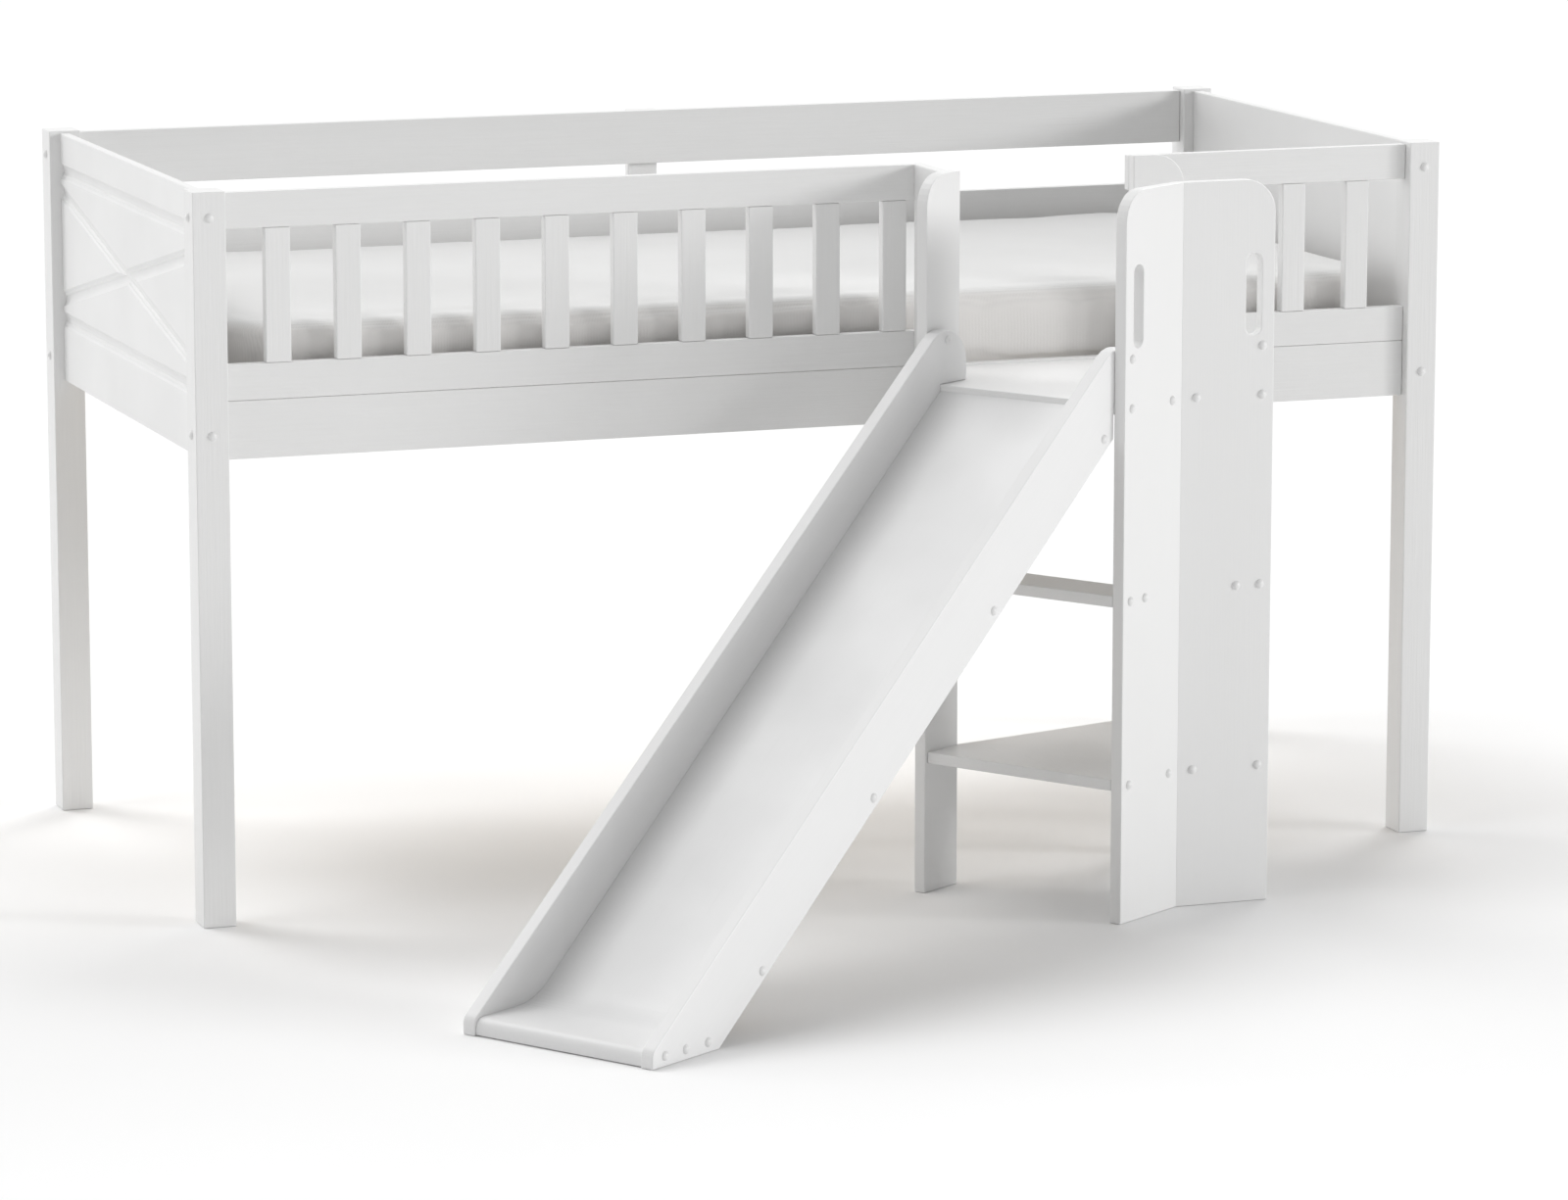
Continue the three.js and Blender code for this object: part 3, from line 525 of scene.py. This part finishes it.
def slide_places():
    """Screws through both sides into the battens and the foot block, and each side's bolt to a board."""
    spots = []
    for share in BATTEN_SHARES:
        run = SLIDE_REACH * share
        spots.append((WIDE_BOARD_WIDTH + run, BATTEN_LINE_START - BATTEN_LINE_FALL * run))
    spots += [(out, FOOT_HEIGHT) for out in FOOT_PLACES]
    near = TOWER_BOARD + SEAT_GAP
    far = TOWER_BOARD + PASSAGE - SEAT_GAP
    places = []
    for outer_face, outwards in ((near, -1), (far, 1)):
        direction = outwards * SLIDE_SIDE[1]
        for out, height in spots:
            places.append(in_recess(on_side(SLIDE_SIDE, out, outer_face, height), direction))
        inner_face = outer_face - outwards * SLIDE_BOARD
        bolt = on_side(SLIDE_SIDE, WIDE_BOARD_WIDTH - EDGE_INSET, inner_face, BOLT_HEIGHT)
        places.append(in_recess(bolt, -direction))
    return places


def ledger_places():
    """Screws through each ledger into its side rail, evenly along its inner face."""
    places = []
    for node, inwards in (("front_ledger", 1), ("back_ledger", -1)):
        low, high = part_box(node)
        face = high.y if inwards > 0 else low.y
        height = (low.z + high.z) / 2
        seat = face - inwards * SCREW_SEAT
        first = low.x + LEDGER_SCREW_INSET
        last = high.x - LEDGER_SCREW_INSET
        for x in spaced(first, last, LEDGER_SCREW_SPACING):
            places.append((Vector((x, seat, height)), Vector((0, inwards, 0))))
    return places


def dress_fasteners():
    for name, places in (
        ("post_caps", post_places()),
        ("tower_caps", tower_places()),
        ("slide_caps", slide_places()),
    ):
        repeated(name, cap_profile(), places, cap_plastic)
    repeated("ledger_screws", screw_profile(), ledger_places(), screw_steel)


# Mattress

PLAN_RADIUS = 0.08
EDGE_RADIUS = 0.02
# Grid lines in plan and up the border: the zone at each end, the step in it and the step between
PLAN_LINES = (0.03, 0.006, 0.015)
BORDER_LINES = (0.028, 0.005, 0.014)
CROWN = 0.0038
CROWN_SHAPE = 0.55  # under 1 the crown is broad and falls near its edges
DRAW_IN = 0.002
BORDER_RIPPLE = 0.0012
TOP_RIPPLE = 0.0008
TOP_RIPPLE_RISE = 3  # how fast the top's ripple starts inside its edges
RIPPLES_PER_METRE = (3.2, 4.6, 5)
SWELL = 0.0035
CLOTH_FRAMES = 20
CLOTH_SETTINGS = {
    "quality": 4,
    "mass": 0.02,
    "tension_stiffness": 12,
    "compression_stiffness": 12,
    "bending_stiffness": 0.6,
    "use_pressure": True,
    "uniform_pressure_force": 0.15,
}


def cell(a, b):
    """The corners of one cell of a grid."""
    return (a, b), (a + 1, b), (a + 1, b + 1), (a, b + 1)


def turned_over(corners):
    """The same corners the other way round, from the same first one."""
    return corners[:1] + corners[:0:-1]


def box_grid(xs, ys, zs):
    """The surface of a box as a grid of quads, with the given lines along each axis."""
    index, vertices, faces = {}, [], []

    def vertex(i, j, k):
        key = (i, j, k)
        if key not in index:
            index[key] = len(vertices)
            vertices.append((xs[i], ys[j], zs[k]))
        return index[key]

    nx, ny, nz = len(xs) - 1, len(ys) - 1, len(zs) - 1
    for i in range(nx):
        for j in range(ny):
            faces.append([vertex(a, b, nz) for a, b in cell(i, j)])
            faces.append([vertex(a, b, 0) for a, b in turned_over(cell(i, j))])
    for k in range(nz):
        for i in range(nx):
            faces.append([vertex(a, 0, c) for a, c in cell(i, k)])
            faces.append([vertex(a, ny, c) for a, c in turned_over(cell(i, k))])
        for j in range(ny):
            faces.append([vertex(0, b, c) for b, c in turned_over(cell(j, k))])
            faces.append([vertex(nx, b, c) for b, c in cell(j, k)])
    return np.array(vertices, float), faces


def grid_lines(reach, zone, fine, coarse):
    """Lines from -reach to reach, which lie closer together in a zone at both ends."""
    lines = np.concatenate([
        spaced(-reach, -reach + zone, fine),
        spaced(-reach + zone, reach - zone, coarse),
        spaced(reach - zone, reach, fine),
    ])
    return np.unique(np.round(lines, 6))


def round_pair(a, b):
    """Two distances past the start of a rounding, moved from its square corner to its round."""
    square = np.maximum(np.abs(a), np.abs(b))
    length = np.hypot(a, b)
    scale = np.where(length > TINY, square / np.maximum(length, TINY), 1.0)
    return a * scale, b * scale


def swollen(vertices, faces):
    """The cover swollen by its filling: cloth under pressure, whose points move no further than SWELL."""
    scene = bpy.context.scene
    pad = mesh_object("mattress_pad", vertices, faces)
    cloth = pad.modifiers.new("cloth", "CLOTH")
    for key, value in CLOTH_SETTINGS.items():
        setattr(cloth.settings, key, value)
    cloth.settings.effector_weights.gravity = 0
    cloth.point_cache.frame_start = 1
    cloth.point_cache.frame_end = CLOTH_FRAMES
    for number in range(1, CLOTH_FRAMES + 1):
        scene.frame_set(number)
    posed = pad.evaluated_get(bpy.context.evaluated_depsgraph_get())
    moved = np.array([vertex.co for vertex in posed.data.vertices])
    bpy.data.objects.remove(pad)
    scene.frame_set(1)
    step = moved - vertices
    length = np.linalg.norm(step, axis=1, keepdims=True)
    return vertices + step * np.minimum(1, SWELL / np.maximum(length, TINY))


def mattress_form(half, edge_half):
    """Points and faces of the mattress about its middle: a box with rounded plan corners and long edges,
    a low crown, and a border that is drawn in half way up its side."""
    plan_lines = (grid_lines(half.x, *PLAN_LINES), grid_lines(half.y, *PLAN_LINES))
    points, faces = box_grid(*plan_lines, grid_lines(edge_half, *BORDER_LINES))
    x, y, z = points.T.copy()
    # plan corners
    inner_x = np.clip(x, -half.x + PLAN_RADIUS, half.x - PLAN_RADIUS)
    inner_y = np.clip(y, -half.y + PLAN_RADIUS, half.y - PLAN_RADIUS)
    over_x, over_y = round_pair(x - inner_x, y - inner_y)
    x, y = inner_x + over_x, inner_y + over_y
    # distance inwards from the outline, and the outline's direction there
    away = np.hypot(over_x, over_y)
    inward = PLAN_RADIUS - away
    out_x = np.where(away > TINY, over_x / np.maximum(away, TINY), 0)
    out_y = np.where(away > TINY, over_y / np.maximum(away, TINY), 0)
    # long edges, above and below
    past_side = np.maximum(EDGE_RADIUS - inward, 0)
    past_top = np.maximum(np.abs(z) - (edge_half - EDGE_RADIUS), 0)
    round_side, round_top = round_pair(past_side, past_top)
    shift = round_side - past_side
    x, y = x + out_x * shift, y + out_y * shift
    z = np.sign(z) * (np.abs(z) - past_top + round_top)
    # crown
    flat = (1 - (x / half.x) ** 2) * (1 - (y / half.y) ** 2)
    top_share = np.clip(z / edge_half, 0, 1)
    z = z + CROWN * np.clip(flat, 0, 1) ** CROWN_SHAPE * top_share
    # border and ripples
    side_share = np.clip(1 - inward / EDGE_RADIUS, 0, 1)
    belly = 1 - np.clip(np.abs(z) / (edge_half - EDGE_RADIUS), 0, 1) ** 2
    places = np.stack([x, y, z], 1) * RIPPLES_PER_METRE
    ripple = np.array([noise.noise(Vector(place)) for place in places])
    draw = side_share * belly * (DRAW_IN + BORDER_RIPPLE * (1 + ripple))
    x, y = x - out_x * draw, y - out_y * draw
    z = z + top_share * TOP_RIPPLE * ripple * np.clip(flat * TOP_RIPPLE_RISE, 0, 1)
    return np.stack([x, y, z], 1), faces


def mattress_piece():
    """The mattress cover. It starts smaller by what the cloth step may add to it."""
    low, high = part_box("mattress")
    middle = (low + high) / 2
    inset = SWELL
    half = (high - low) / 2 - Vector((inset, inset, inset))
    edge_half = half.z - CROWN / 2
    vertices, faces = mattress_form(half, edge_half)
    vertices = vertices + np.array(Vector((middle.x, middle.y, low.z + inset + edge_half)))
    vertices = swollen(vertices, faces)
    vertices = np.clip(vertices, low, high)
    piece = mesh_object("mattress_cover", vertices, faces)
    smooth = piece.modifiers.new("smoothing", "SUBSURF")
    smooth.levels = smooth.render_levels = 1
    piece.data.materials.append(knit)
    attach(piece, "mattress")
    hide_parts("mattress")
    return piece


# Stage

FLOOR_REACH = 70
FLOOR_DROP = 0.0004  # keeps the floor out of the plane of the feet
WORLD_LIGHT = 0.39


def add_floor():
    n = Nodes("floor")
    place = n.place()
    speckle = n.noise(place, 2.5, detail=2)
    tint = n.mix(speckle, FLOOR, FLOOR_DULL)
    n.fill(n.shader, Specular_IOR_Level=0.0, Roughness=0.9)
    n.link(tint, n.shader.inputs["Base Color"])
    corners = ((-1, -1), (1, -1), (1, 1), (-1, 1))
    vertices = [(x * FLOOR_REACH, y * FLOOR_REACH, -FLOOR_DROP) for x, y in corners]
    floor = mesh_object("floor", vertices, [(0, 1, 2, 3)], smooth=False)
    floor.data.materials.append(n.material)


def add_world():
    """A dim white world that camera and glossy rays see as plain white."""
    world = bpy.data.worlds.new("studio")
    bpy.context.scene.world = world
    world.use_nodes = True
    tree = world.node_tree
    background = tree.nodes["Background"]
    path = tree.nodes.new("ShaderNodeLightPath")
    seen = tree.nodes.new("ShaderNodeMath")
    seen.operation = "MAXIMUM"
    mix = tree.nodes.new("ShaderNodeMix")
    mix.data_type = "RGBA"
    mix.inputs[6].default_value = (WORLD_LIGHT, WORLD_LIGHT, WORLD_LIGHT, 1)
    mix.inputs[7].default_value = (1, 1, 1, 1)
    tree.links.new(path.outputs["Is Camera Ray"], seen.inputs[0])
    tree.links.new(path.outputs["Is Glossy Ray"], seen.inputs[1])
    tree.links.new(seen.outputs[0], mix.inputs["Factor"])
    tree.links.new(mix.outputs[2], background.inputs["Color"])
    background.inputs["Strength"].default_value = 1


# Soft lamps round the object: direction seen from above, from the right turning to the back, and
# height above the floor, both in degrees; strength; how wide the lamp looks, in degrees
SOFTBOXES = [
    (330, 12, 0.93, 12),
    (315, 12, 0.42, 12),
    (45, 30, 0.6, 25),
    (60, 60, 0.5, 25),
    (120, 60, 0.66, 25),
    (120, 35, 0.35, 25),
    (135, 12, 0.55, 25),
    (180, 60, 0.42, 25),
]


def add_softbox(name, around, above, strength, width):
    lamp = bpy.data.lights.new(name, "SUN")
    lamp.energy = strength
    lamp.angle = math.radians(width)
    obj = link(bpy.data.objects.new(name, lamp))
    around, above = math.radians(around), math.radians(above)
    level = math.cos(above)
    towards = Vector((math.cos(around) * level, math.sin(around) * level, math.sin(above)))
    obj.rotation_euler = towards.to_track_quat("Z", "Y").to_euler()


def add_lights():
    add_world()
    for number, softbox in enumerate(SOFTBOXES):
        add_softbox(f"softbox_{number + 1}", *softbox)


def add_camera():
    data = bpy.data.cameras.new("camera")
    data.sensor_width = SENSOR_WIDTH_MM
    data.lens = FOCAL_LENGTH_MM
    data.clip_end = CAMERA_REACH
    camera = link(bpy.data.objects.new("camera", data))
    camera.location = CAMERA_PLACE
    camera.rotation_euler = (math.pi / 2 - CAMERA_PITCH, 0, -CAMERA_YAW)
    bpy.context.scene.camera = camera


bpy.context.scene.view_settings.view_transform = "Standard"
add_camera()
add_lights()
add_floor()
dress_nodes()
dress_fasteners()
mattress_piece()
